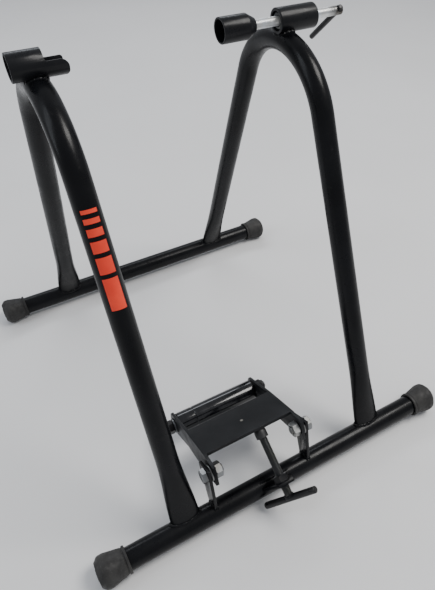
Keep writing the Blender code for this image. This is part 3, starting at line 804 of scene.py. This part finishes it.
def left_cup():
    """A tube whose inner end is sawn away on top, with rounded trough corners."""
    node = "left_axle_cup"
    ends = ends_on(CLAMP, node)
    piece = tube(node + "_sawn", CLAMP_TUBE, CLAMP_TUBE - WALL, *ends)
    step_x = high("left_cup_stop").x + 0.0010
    tip = ends[1].x
    level = 0.0018  # the saw cut's height above the axis
    inside = 0.0016  # radius of the cut's inner corner
    tilt = Matrix.Rotation(math.radians(-11), 3, "X")
    side = 0.0125
    near_corners = -side, 0.0064, 0.0056  # radii of the tongue's upper and lower corners
    far_corners = side, 0.0014, 0.0008
    keel = -CLAMP_TUBE - 0.0002
    above, below, beyond = 0.03, keel - 0.004, tip + 0.01
    rings = []
    for across, upper, lower in (near_corners, far_corners):
        outline = [(step_x, above), (step_x, level + inside)]
        for sine, cosine in quarter(6, 1):
            outline.append((step_x + inside * (1 - cosine), level + inside * (1 - sine)))
        for sine, cosine in quarter(8):
            outline.append((tip - upper * (1 - sine), level - upper * (1 - cosine)))
        for sine, cosine in quarter(8):
            outline.append((tip + 0.00002 - lower * (1 - cosine), keel + lower * (1 - sine)))
        outline += [(tip - lower, below), (beyond, below), (beyond, above)]
        ring = []
        for x, z in outline:
            turned = tilt @ Vector((0, across, z))
            ring.append(Vector((x, CLAMP.y + turned.y, CLAMP.z + turned.z)))
        rings.append(ring)
    subtract(piece, loft("trough_cutter", rings))
    soften(piece, 0.0003, angle=40)
    keep(piece, "frame", CLAMP_PAINT, "clamp_paint", node, sharp=38)
    stop = "left_cup_stop"
    ends = ends_on(CLAMP, stop)
    disc = bar(stop + "_disc", CLAMP_TUBE - WALL - 0.0002, *ends, 0.0006, steps=SMALL_RING)
    keep(disc, "frame", OXIDE, "black_steel", stop)


left_cup()

# ---------------- right clamp


def right_sleeve():
    """The welded sleeve, with the fixed nut in its left end and a bush in its right."""
    node = "right_sleeve"
    start, end = ends_on(CLAMP, node)
    bore = extent("sleeve_bush").y / 2 + 0.0003
    span = end.x - start.x
    profile = [
        (CLAMP_TUBE, span, 0.0014),
        (CLAMP_TUBE, 0, 0.0007),
        (bore, 0, 0.0005),
        (bore, span, 0.0005),
    ]
    piece = lathe(node + "_turned", profile, start, ACROSS, looped=True)
    keep(piece, "frame", CLAMP_PAINT, "clamp_paint", node)
    nut = "sleeve_nut"
    base = on_line(CLAMP, low(nut).x)
    piece = hex_piece(nut + "_hex", base, ACROSS, extent(nut).y, extent(nut).x, ROD_BORE)
    # the nut's very dark zinc is painted shade of the hollow sleeve end that it sits in
    keep(piece, "frame", ZINC_DARK_AND_SHADE, "zinc_steel", nut)
    short_ring("sleeve_bush", "_moulded", CLAMP, 0.0005, "frame", NYLON, "nylon")


def clamp_cup():
    """The swivelling cup: thin rim, deep bore, rounded shoulder and coned back."""
    node = "clamp_cup"
    face, back = ends_on(CLAMP, node)
    span = back.x - face.x
    shoulder = span - 0.0076  # where the coned back starts
    floor = span - 0.0116  # how deep the cup is
    back_radius = 0.0060
    bore = CLAMP_TUBE - 0.0016
    profile = [
        (back_radius, span, 0.0006),
        (CLAMP_TUBE, shoulder, 0.0016),
        (CLAMP_TUBE, 0, 0.0005),
        (bore, 0, 0.0004),
        (bore, floor, 0.0008),
        (CUP_NECK, floor, 0.0002),
        (CUP_NECK, span, 0.0002),
    ]
    piece = lathe(node + "_turned", profile, face, ACROSS, looped=True)
    keep(piece, "clamp_carrier", CLAMP_PAINT, "clamp_paint", node)
    place = CLAMP, 0.0003, "clamp_screw", ZINC_DULL, "zinc_steel"
    short_ring("cup_clip", "_ring", *place, bore=CUP_NECK, steps=48)


def clamp_rod():
    """The clamp's screw: a turned neck, an M8 thread and a plain end that holds the handle."""
    node = "clamp_rod"
    inner, outer = low(node).x, high(node).x
    neck_end = high("clamp_cup").x + 0.0003
    boss_start = middle("clamp_handle").x - 0.0062
    neck = ROD - 0.0010
    root = ROD - 0.00026
    tip = ROD * 0.2
    rounding = 0.0012

    def ring(radius, x):
        return plain_ring(radius, on_line(CLAMP, x), ACROSS)

    rings = [ring(neck * 0.2, inner), ring(neck - 0.0004, inner), ring(neck, inner + 0.0004)]
    rings += [ring(neck, neck_end - 0.0001), ring(root, neck_end)]
    thread_start = on_line(CLAMP, neck_end + 0.0002)
    rings += thread_rings(ROD, thread_start, boss_start - neck_end - 0.0004, ACROSS, 0.00024)
    rings += [ring(ROD - 0.0002, boss_start), ring(ROD, boss_start + 0.0003)]
    for sine, cosine in quarter(5):
        rings.append(ring(ROD - rounding * (1 - cosine), outer - rounding * (1 - sine)))
    rings.append(ring(tip, outer))
    keep(loft(node + "_threaded", rings), "clamp_screw", ZINC_ROD, "zinc_steel", node, sharp=55)


def clamp_handle():
    """The thin tommy bar; its +Y end is the lower one, and its slope is solved to fill its box."""
    node = "clamp_handle"
    box_low, box_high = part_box(node)
    x = middle(node).x
    radius = extent(node).x / 2
    run = extent(node).y
    drop = extent(node).z
    slope = math.atan2(drop, run)
    for _ in range(6):
        slope = math.atan2(drop - 2 * radius * math.cos(slope), run - 2 * radius * math.sin(slope))
    along = Vector((0, math.cos(slope), -math.sin(slope)))
    start = Vector((x, box_low.y + radius * math.sin(slope), box_high.z - radius * math.cos(slope)))
    end = Vector((x, box_high.y - radius * math.sin(slope), box_low.z + radius * math.cos(slope)))
    piece = bar(node + "_bar", radius, start, end, 0.0012)
    keep(piece, "clamp_screw", OXIDE, "black_steel", node)
    crossing = on_line(CLAMP, x)
    second = along.cross(ACROSS)
    for side, name in ((-1, "inner"), (1, "outer")):
        path = []
        for turn in turns(60):
            ring = spoke(ACROSS, second, turn) * (radius + 0.0001)
            reach = math.sqrt(max(ROD ** 2 - (ring.dot(second)) ** 2, 0))
            path.append(crossing + ring + along * side * reach)
        weld = bead(node + "_tack_" + name, path, 0.0006, ripple=0.0008, seed=31 + side)
        keep(weld, "clamp_screw", OXIDE, "black_steel")


right_sleeve()
clamp_cup()
clamp_rod()
clamp_handle()

# ---------------- cradle


def cradle_bracket():
    """The bent sheet: generous bends where the plate turns down into the cheeks."""
    node = "cradle_bracket"
    piece = copy_of(node, node + "_bent_sheet")
    left, right = low(node).x, high(node).x
    bend = 0.0024  # the sheet's outer bend; other edges get a share of it
    other_edges = 0.16
    shape = bmesh.new()
    shape.from_mesh(piece.data)
    weights = shape.edges.layers.float.new("bevel_weight_edge")
    shape.normal_update()
    for edge in shape.edges:
        if len(edge.link_faces) != 2:
            continue
        if edge.calc_face_angle(0) < math.radians(30):
            continue
        ends = [vertex.co for vertex in edge.verts]
        outer = all(min(abs(co.x - left), abs(co.x - right)) < 0.0002 for co in ends)
        up_faces = [face for face in edge.link_faces if face.normal.z > 0.85]
        long = (ends[0] - ends[1]).length > 0.02
        edge[weights] = 1.0 if outer and up_faces and long else other_edges
    shape.to_mesh(piece.data)
    shape.free()
    bevel = piece.modifiers.new("bends", "BEVEL")
    bevel.width = bend
    bevel.segments = 4
    bevel.limit_method = "WEIGHT"
    apply_modifiers(piece)
    keep(piece, "cradle", CRADLE_PAINT, "cradle_paint", node, sharp=35)


def cradle_axle():
    """The roller's axle with a washer, a hexagon nut and the nut's turned collar at each end."""
    node = "roller_axle"
    piece = threaded_bar(node + "_threaded", *ends_on(ROLLER, node))
    keep(piece, "cradle", ZINC_DULL, "zinc_steel", node, sharp=55)
    for hand, direction, roll in (("left", -1, 0.3), ("right", 1, 0.75)):
        place = ROLLER, 0.0003, "cradle", ZINC_DULL, "zinc_steel"
        short_ring("axle_washer_" + hand, "_ring", *place)
        lock = "axle_nut_" + hand
        outward = ACROSS * direction
        base = on_line(ROLLER, end_x(lock, -direction))
        flats, height = extent(lock).y, extent(lock).x
        hexagon = hex_piece(lock + "_hex", base, outward, flats, height * 0.72, ROD_BORE, roll=roll)
        keep(hexagon, "cradle", OXIDE, "black_steel", lock)
        profile = [
            (flats / 2 * 0.90, 0, 0),
            (flats / 2 * 0.84, height * 0.30, 0.0011),
            (ROD + 0.0010, height * 0.30, 0.0003),
            (ROD_BORE, height * 0.12, 0),
            (ROD_BORE, 0, 0),
        ]
        start = base + outward * height * 0.70
        collar = lathe(lock + "_collar", profile, start, outward, steps=SMALL_RING, looped=True)
        keep(collar, "cradle", OXIDE, "black_steel", lock)


def roller():
    """The roller's tube, with one turned groove near its left end, and its two bushings."""
    node = "roller_tube"
    radius = extent(node).y / 2
    start, end = ends_on(ROLLER, node)
    span = end.x - start.x
    groove = span * 0.20
    dip, mouth, floor = 0.00035, 0.0009, 0.0005  # its depth, half width at the mouth and below
    profile = [
        (radius, span, 0.0007),
        (radius, groove + mouth, 0.0002),
        (radius - dip, groove + floor, 0.0002),
        (radius - dip, groove - floor, 0.0002),
        (radius, groove - mouth, 0.0002),
        (radius, 0, 0.0007),
        (radius - WALL, 0, 0.0004),
        (radius - WALL, span, 0.0004),
    ]
    piece = lathe(node + "_turned", profile, start, ACROSS, looped=True)
    keep(piece, "roller", GLOSS, "roller_gloss", node)
    for hand in ("left", "right"):
        short_ring("roller_bushing_" + hand, "_moulded", ROLLER, 0.0005, "roller", NYLON, "nylon")


cradle_bracket()
cradle_axle()
roller()

# ---------------- ears and pivots


def plate(node):
    """A flat sheet part of the frame, with softened edges."""
    piece = soften(copy_of(node, node + "_plate"), 0.00045)
    keep(piece, *ON_FRAME, node, sharp=35)


def on_rear_tube(x, degrees, clear):
    """A point just off the rear floor tube's skin, so many degrees round it from the front."""
    turn = math.radians(degrees)
    return on_line(REAR, x) + Vector((0, math.cos(turn), math.sin(turn))) * (TUBE + clear)


def ear_weld(node, seed):
    """Two beads along an ear's foot on the rear tube."""
    start, end, count = 28, 118, 40  # degrees round the tube, and points
    for name, x in (("inner", low(node).x), ("outer", high(node).x)):
        path = []
        for step in range(count):
            degrees = start + (end - start) * step / (count - 1)
            path.append(on_rear_tube(x, degrees, 0.0003))
        piece = bead(node + "_weld_" + name, path, 0.0013, seed=seed, closed=False)
        keep(piece, *ON_FRAME)


def pivot(hand, direction):
    """A pivot bolt through an ear and a cheek, its nut, and the washer between the sheets."""
    bolt, nut, ear = "pivot_bolt_" + hand, "pivot_nut_" + hand, "pivot_ear_" + hand
    outward = ACROSS * direction
    head_start = end_x(ear, direction) + direction * 0.0003
    height = abs(end_x(bolt, direction) - head_start)
    base = on_line(PIVOT, 0) + ACROSS * head_start
    shape = {"chamfers": (False, True), "roll": 0.2, "dish": 0.0004}
    head = hex_piece(bolt + "_head", base, outward, extent(bolt).y, height, 0, **shape)
    keep(head, "frame", ZINC_DULL, "zinc_steel", bolt)
    tail = on_line(PIVOT, end_x(bolt, -direction))
    shank = threaded_bar(bolt + "_shank", tail, base - outward * 0.0004)
    keep(shank, "frame", ZINC_DULL, "zinc_steel", bolt, sharp=55)
    start = on_line(PIVOT, end_x(nut, direction))
    size = extent(nut).y, extent(nut).x, ROD_BORE
    hexagon = hex_piece(nut + "_hex", start, -outward, *size, roll=0.45)
    # the right nut's brighter zinc is painted light on the lit side; its twin on the left has the
    # dull zinc
    keep(hexagon, "frame", ZINC_LIT if direction > 0 else ZINC_DULL, "zinc_steel", nut)
    short_ring("pivot_spacer_" + hand, "_ring", PIVOT, 0.0004, "frame", ZINC_DULL, "zinc_steel")


for number, (hand, direction) in enumerate((("left", -1), ("right", 1))):
    plate("pivot_ear_" + hand)
    ear_weld("pivot_ear_" + hand, 41 + number)
    pivot(hand, direction)

# ---------------- lifting screw


def lift_bracket():
    """The plate welded to the rear tube, with the screw's nut welded on."""
    bracket = "screw_bracket"
    plate(bracket)
    nut = "screw_nut"
    flats, height = extent(nut).x, 0.0065
    top = LIFT_FOOT + LIFT * ((middle(nut) - LIFT_FOOT).dot(LIFT) + height / 2)
    base = top - LIFT * height
    hexagon = hex_piece(nut + "_hex", base, LIFT, flats, height, ROD_BORE)
    keep(hexagon, "frame", OXIDE, "black_steel", nut)
    upright = LIFT.cross(ACROSS).normalized()
    path = []
    for turn in turns(90):
        reach = hexagon_at(turn, flats) * 0.98
        path.append(base + spoke(upright, ACROSS, turn) * reach)
    weld = bead(nut + "_weld", path, 0.0010, ripple=0.0014, seed=51)
    keep(weld, *ON_FRAME)
    count = 50
    half = extent(bracket).x / 2 * 0.98
    path = []
    for step in range(count):
        x = middle(bracket).x + half * (2 * step / (count - 1) - 1)
        path.append(on_rear_tube(x, 104, 0.0004))
    weld = bead(bracket + "_weld", path, 0.0014, seed=57, closed=False)
    keep(weld, *ON_FRAME)


def lift_screw():
    """The lifting screw, and the domed pad on its tip."""
    node, pad = "lift_screw", "lift_pad"
    # the upper far corner of the pad's box gives how far its dome reaches along the screw
    far_corner = Vector((LIFT_FOOT.x, high(pad).y, high(pad).z))
    dome_top = (far_corner - LIFT_FOOT).dot(LIFT)
    pad_radius = extent(pad).x / 2
    corner_reach = pad_radius * (LIFT.y + LIFT.z) - pad_radius
    dome = dome_top - corner_reach - pad_radius
    foot = dome - pad_radius
    start = LIFT_FOOT + LIFT * T_BAR * 0.8
    end = LIFT_FOOT + LIFT * (dome - 0.0004)
    screw = threaded_bar(node + "_threaded", start, end)
    # the screw's dark zinc is its own tone
    keep(screw, "lift_spindle", ZINC_DARK_AND_SHADE, "black_steel", node, sharp=55)
    profile = [(0, dome + pad_radius, 0)]
    for step in range(1, 9):
        turn = math.pi / 2 * (1 - step / 9)
        profile.append((pad_radius * math.cos(turn), dome + pad_radius * math.sin(turn), 0))
    profile += [
        (pad_radius, dome, 0),
        (pad_radius, foot, 0.0008),
        (ROD_BORE, foot, 0.0004),
        (ROD_BORE, dome - 0.0002, 0),
        (0, dome - 0.0002, 0),
    ]
    cap = lathe(pad + "_domed", profile, LIFT_FOOT, LIFT, steps=SMALL_RING)
    keep(cap, "lift_carrier", NYLON, "nylon", pad)


def t_bar():
    """The cross bar; its roll and length are solved so that its box is the node's."""
    node = "lift_t_bar"
    upright = -LIFT.cross(ACROSS).normalized()
    if upright.z < 0:
        upright = -upright
    half_wide = extent(node).x / 2
    half_tall = extent(node).z / 2 / upright.z
    roll = math.atan2(half_tall, half_wide)
    for _ in range(12):
        half_length = (half_wide - T_BAR * math.sin(roll)) / math.cos(roll)
        tall = (half_tall - T_BAR * math.cos(roll)) / math.sin(roll)
        roll += 0.5 * math.atan2(tall - half_length, tall + half_length)
    along = spoke(ACROSS, upright, roll)
    ends = LIFT_FOOT - along * half_length, LIFT_FOOT + along * half_length
    keep(bar(node + "_bar", T_BAR, *ends, 0.0014), "lift_spindle", OXIDE, "black_steel", node)
    side = LIFT.cross(along)
    path = []
    for turn in turns(70):
        offset = side * math.sin(turn) * ROD
        lift = math.sqrt(max(T_BAR ** 2 - min(ROD * abs(math.sin(turn)), T_BAR) ** 2, 0))
        point = LIFT_FOOT + along * math.cos(turn) * (ROD + 0.0002) + offset * 0.9
        path.append(point + LIFT * (lift + 0.0002))
    weld = bead(node + "_weld", path, 0.0011, ripple=0.0010, seed=61)
    keep(weld, "lift_spindle", OXIDE, "black_steel")


lift_bracket()
lift_screw()
t_bar()

# ---------------- generic decal, near left leg
DECAL_GAP = 0.00012  # clear of the paint
DECAL_THICK = 0.00012
DECAL_START = 0.2290  # along the leg from the base tube's axis
DECAL_LEFT, DECAL_RIGHT = 130, 60  # degrees round the leg
DECAL_BANDS = (0.0260, 0.0130, 0.0090, 0.0060, 0.0040, 0.0030)
DECAL_SPACE = 0.0036


def decal_patch(name, start, end, left, right):
    """A thin vinyl patch on the leg: start to end along it, left to right round it in degrees."""
    x = middle("left_hoop").x
    foot_point, upward, outward = leg_frame(-1)
    rows, columns = 10, 26
    grids = []
    for height in (DECAL_GAP, DECAL_GAP + DECAL_THICK):
        grid = []
        for i in range(rows + 1):
            row = []
            for j in range(columns + 1):
                turn = math.radians(left + (right - left) * j / columns)
                along = start + (end - start) * i / rows
                centre = Vector((x, 0, 0)) + foot_point + upward * along
                row.append(centre + spoke(ACROSS, outward, turn) * (HOOP + height))
            grid.append(row)
        grids.append(grid)
    shape = bmesh.new()
    sheets = [[[shape.verts.new(point) for point in row] for row in grid] for grid in grids]
    for sheet in sheets:
        for i in range(rows):
            for j in range(columns):
                here, above = sheet[i], sheet[i + 1]
                shape.faces.new((here[j], here[j + 1], above[j + 1], above[j]))
    inner, outer = sheets
    border = [(0, j) for j in range(columns)] + [(i, columns) for i in range(rows)]
    border += [(rows, j) for j in range(columns, 0, -1)] + [(i, 0) for i in range(rows, 0, -1)]
    for k, (i, j) in enumerate(border):
        ni, nj = border[(k + 1) % len(border)]
        shape.faces.new((inner[i][j], inner[ni][nj], outer[ni][nj], outer[i][j]))
    keep(from_bmesh(name, shape), "frame", VINYL, "frame_paint", sharp=60)


at = DECAL_START
for number, width in enumerate(DECAL_BANDS):
    decal_patch("decal_band_%d" % (number + 1), at, at + width, DECAL_LEFT, DECAL_RIGHT)
    at += width + DECAL_SPACE

# ---------------- floor, light and camera
STAND_MIDDLE = Vector((0, 0, 0.2))
# the photograph's view, solved from the stand's straight and parallel lines
EYE = Vector((-0.1688, MIDDLE_Y - 0.4254, REAR.z + 0.5121))
EYE_TURN = 47.984, -0.695, -30.960  # degrees about X, Y and Z
LENS = 34.04  # on a sensor 36 wide
SHIFT = -0.0854, -0.0128


def studio():
    """A plain pale floor under a pale, faintly blue sky."""
    shape = bmesh.new()
    bmesh.ops.create_grid(shape, x_segments=8, y_segments=8, size=6)
    floor = from_bmesh("studio_floor", shape)
    look = Recipe("studio_floor_pale")
    cloud = look.patches((3, 3), 0.3, 0.7)
    body = look.blend(cloud, (0.80, 0.80, 0.80), (0.83, 0.83, 0.83))
    rough = look.patches((8, 3), 0.3, 0.7, 0.70, 0.80)
    grain = look.bump(look.noise(300, 2), 0.0001, 0.1)
    floor.data.materials.append(look.finish(body, rough, grain))
    world = bpy.data.worlds.new("studio_air")
    bpy.context.scene.world = world
    world.use_nodes = True
    air = world.node_tree.nodes["Background"].inputs
    air["Color"].default_value = (0.93, 0.95, 1.0, 1)
    air["Strength"].default_value = 0.46


def softbox(name, at, size, power, colour):
    """A rectangular soft light, aimed at the middle of the stand."""
    light = bpy.data.lights.new(name, "AREA")
    light.shape = "RECTANGLE"
    light.size, light.size_y = size
    light.energy = power
    light.color = colour
    lamp = in_scene(name, light)
    lamp.location = at
    lamp.rotation_euler = (STAND_MIDDLE - Vector(at)).to_track_quat("-Z", "Y").to_euler()


def camera():
    """The photograph's view: above the near left corner, looking down across the stand."""
    data = bpy.data.cameras.new("photo_view")
    data.sensor_width = 36
    data.lens = LENS
    data.shift_x, data.shift_y = SHIFT
    eye = in_scene("photo_view", data)
    eye.location = EYE
    eye.rotation_euler = [math.radians(turn) for turn in EYE_TURN]
    bpy.context.scene.camera = eye


studio()
softbox("key_light", (0.9, -0.5, 1.7), (0.9, 0.7), 26, (1.0, 0.98, 0.95))
softbox("left_window", (-1.3, 0.3, 1.1), (0.5, 1.4), 6, (0.86, 0.92, 1.0))
softbox("back_strip", (0.2, 1.5, 1.3), (1.6, 0.35), 9, (0.90, 0.94, 1.0))
camera()
